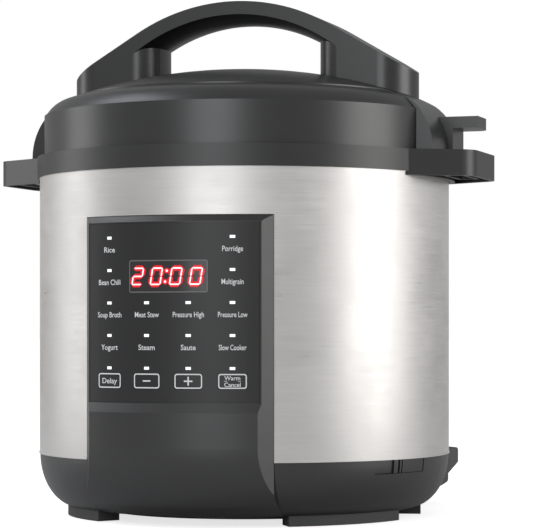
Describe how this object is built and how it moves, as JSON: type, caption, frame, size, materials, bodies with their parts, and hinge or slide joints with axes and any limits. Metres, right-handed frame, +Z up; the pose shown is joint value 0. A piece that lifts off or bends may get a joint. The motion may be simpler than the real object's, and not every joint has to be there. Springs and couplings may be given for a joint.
{
  "type": "electric pressure cooker",
  "caption": "Upright electric pressure cooker: brushed steel drum on a black moulded base, front control panel, locking lid with arched handle, removable inner pot.",
  "frame": {"origin": "centre of the drum on the plane that the feet stand on", "axes": "+Z up along the drum, +X to the right along the handle and the lugs, -Y to the front, where the control panel is"},
  "size_m": [0.326, 0.3055, 0.3345],
  "materials": {
    "housing_black": "fine satin moulding, charcoal black",
    "lid_black": "fine satin moulding, charcoal black",
    "panel_black": "smooth satin-gloss printed overlay",
    "key_black": "printed overlay key",
    "window_tint": "smoked clear window with lit digits behind it",
    "lamp_white": "clear light guide",
    "shell_steel": "brushed around the drum, satin",
    "pot_steel": "satin stainless steel",
    "dish_steel": "pressed stainless steel",
    "liner_steel": "pressed stainless steel, dull",
    "zinc_steel": "zinc plated steel",
    "cast_alloy": "cast and turned face",
    "sensor_alloy": "turned",
    "tube_metal": "dull sheathed element",
    "screw_steel": "bright plated",
    "foot_rubber": "moulded rubber",
    "seal_silicone": "translucent white silicone",
    "gasket_silicone": "red silicone",
    "board_green": "solder-masked circuit board",
    "part_black": "moulded component cases",
    "copper": "copper winding and pins",
    "cable_grey": "flat cable",
    "lead_white": "sleeved leads",
    "cup_clear": "clear moulded cup",
    "pin_brass": "plated contact pins"
  },
  "bodies": {
    "base": {"base_shell": "housing_black", "bottom_cover": "housing_black", "rubber_feet": "foot_rubber", "base_screws": "screw_steel", "steel_shell": "shell_steel", "rim_ring": "housing_black", "slot_sleeves": "housing_black", "fascia": "housing_black", "control_panel": "panel_black", "display_window": "window_tint", "display_module": "part_black", "indicator_lenses": "lamp_white", "control_board": "board_green", "tact_switches": "part_black", "vent_insert": "housing_black", "inlet_housing": "housing_black", "power_inlet": "part_black", "inlet_pins": "pin_brass", "outer_pot": "liner_steel", "bayonet_ring": "liner_steel", "heating_plate": "cast_alloy", "heating_tube": "tube_metal", "elastic_plate": "zinc_steel", "pressure_switch": "part_black", "thermal_fuse": "lead_white", "power_board": "board_green", "transformer": "copper", "relay": "part_black", "capacitors": "part_black", "tie_rods": "zinc_steel", "ribbon_cable": "cable_grey", "heater_leads": "lead_white", "sensor_spring": "screw_steel", "cup_bracket": "housing_black"},
    "sensor": {"thermal_sensor": "sensor_alloy"},
    "cup": {"condensation_cup": "cup_clear"},
    "pot": {"inner_pot": "pot_steel"},
    "seal": {"sealing_ring": "seal_silicone"},
    "lid": {"lid_cover": "lid_black", "lid_skirt": "lid_black", "inner_lid": "dish_steel", "ring_rack": "dish_steel", "vent_pipe": "dish_steel", "vent_nut": "dish_steel", "anti_block_shield": "dish_steel", "lid_screws": "screw_steel", "lid_handle": "lid_black", "grip_insert": "lid_black", "handle_screws": "screw_steel", "lid_fin": "lid_black", "lock_bracket": "lid_black", "lock_spring": "screw_steel"},
    "lock": {"lock_pin": "screw_steel"},
    "steam_valve": {"steam_knob": "lid_black"},
    "float": {"float_valve": "screw_steel", "float_gasket": "gasket_silicone"},
    "key_delay": {"key_delay": "key_black"},
    "key_minus": {"key_minus": "key_black"},
    "key_plus": {"key_plus": "key_black"},
    "key_cancel": {"key_cancel": "key_black"}
  },
  "joints": [
    {"name": "pot_lift", "type": "slide", "parent": "base", "child": "pot", "axis": [0, 0, 1], "range_m": [0, 0.17]},
    {"name": "lid_lift", "type": "slide", "parent": "pot", "child": "seal", "axis": [0, 0, 1], "range_m": [0, 0.14]},
    {"name": "lid_turn", "type": "hinge", "parent": "seal", "child": "lid", "pos_m": [0, 0, 0.24], "axis": [0, 0, 1], "range_deg": [0, 30]},
    {"name": "steam_valve_turn", "type": "hinge", "parent": "lid", "child": "steam_valve", "pos_m": [-0.034, 0.084, 0.285], "axis": [0, 0, 1], "range_deg": [-40, 40]},
    {"name": "float_rise", "type": "slide", "parent": "lid", "child": "float", "axis": [0, 0, 1], "range_m": [0, 0.0055]},
    {"name": "lock_retract", "type": "slide", "parent": "lid", "child": "lock", "axis": [-0.3363, -0.9417, 0], "range_m": [0, 0.003], "stiffness_N_per_m": 300, "springref_m": -0.002, "deforming": ["lock_spring"]},
    {"name": "sensor_press", "type": "slide", "parent": "base", "child": "sensor", "axis": [0, 0, -1], "range_m": [0, 0.002], "stiffness_N_per_m": 800, "springref_m": -0.002, "deforming": ["sensor_spring"]},
    {"name": "cup_pull", "type": "slide", "parent": "base", "child": "cup", "axis": [0, 1, 0], "range_m": [0, 0.035]},
    {"name": "key_delay_press", "type": "slide", "parent": "base", "child": "key_delay", "axis": [0.284, 0.9588, 0], "range_m": [0, 0.0008], "stiffness_N_per_m": 1500, "springref_m": -0.0005},
    {"name": "key_minus_press", "type": "slide", "parent": "base", "child": "key_minus", "axis": [0.0958, 0.9954, 0], "range_m": [0, 0.0008], "stiffness_N_per_m": 1500, "springref_m": -0.0005},
    {"name": "key_plus_press", "type": "slide", "parent": "base", "child": "key_plus", "axis": [-0.0958, 0.9954, 0], "range_m": [0, 0.0008], "stiffness_N_per_m": 1500, "springref_m": -0.0005},
    {"name": "key_cancel_press", "type": "slide", "parent": "base", "child": "key_cancel", "axis": [-0.284, 0.9588, 0], "range_m": [0, 0.0008], "stiffness_N_per_m": 1500, "springref_m": -0.0005}
  ]
}
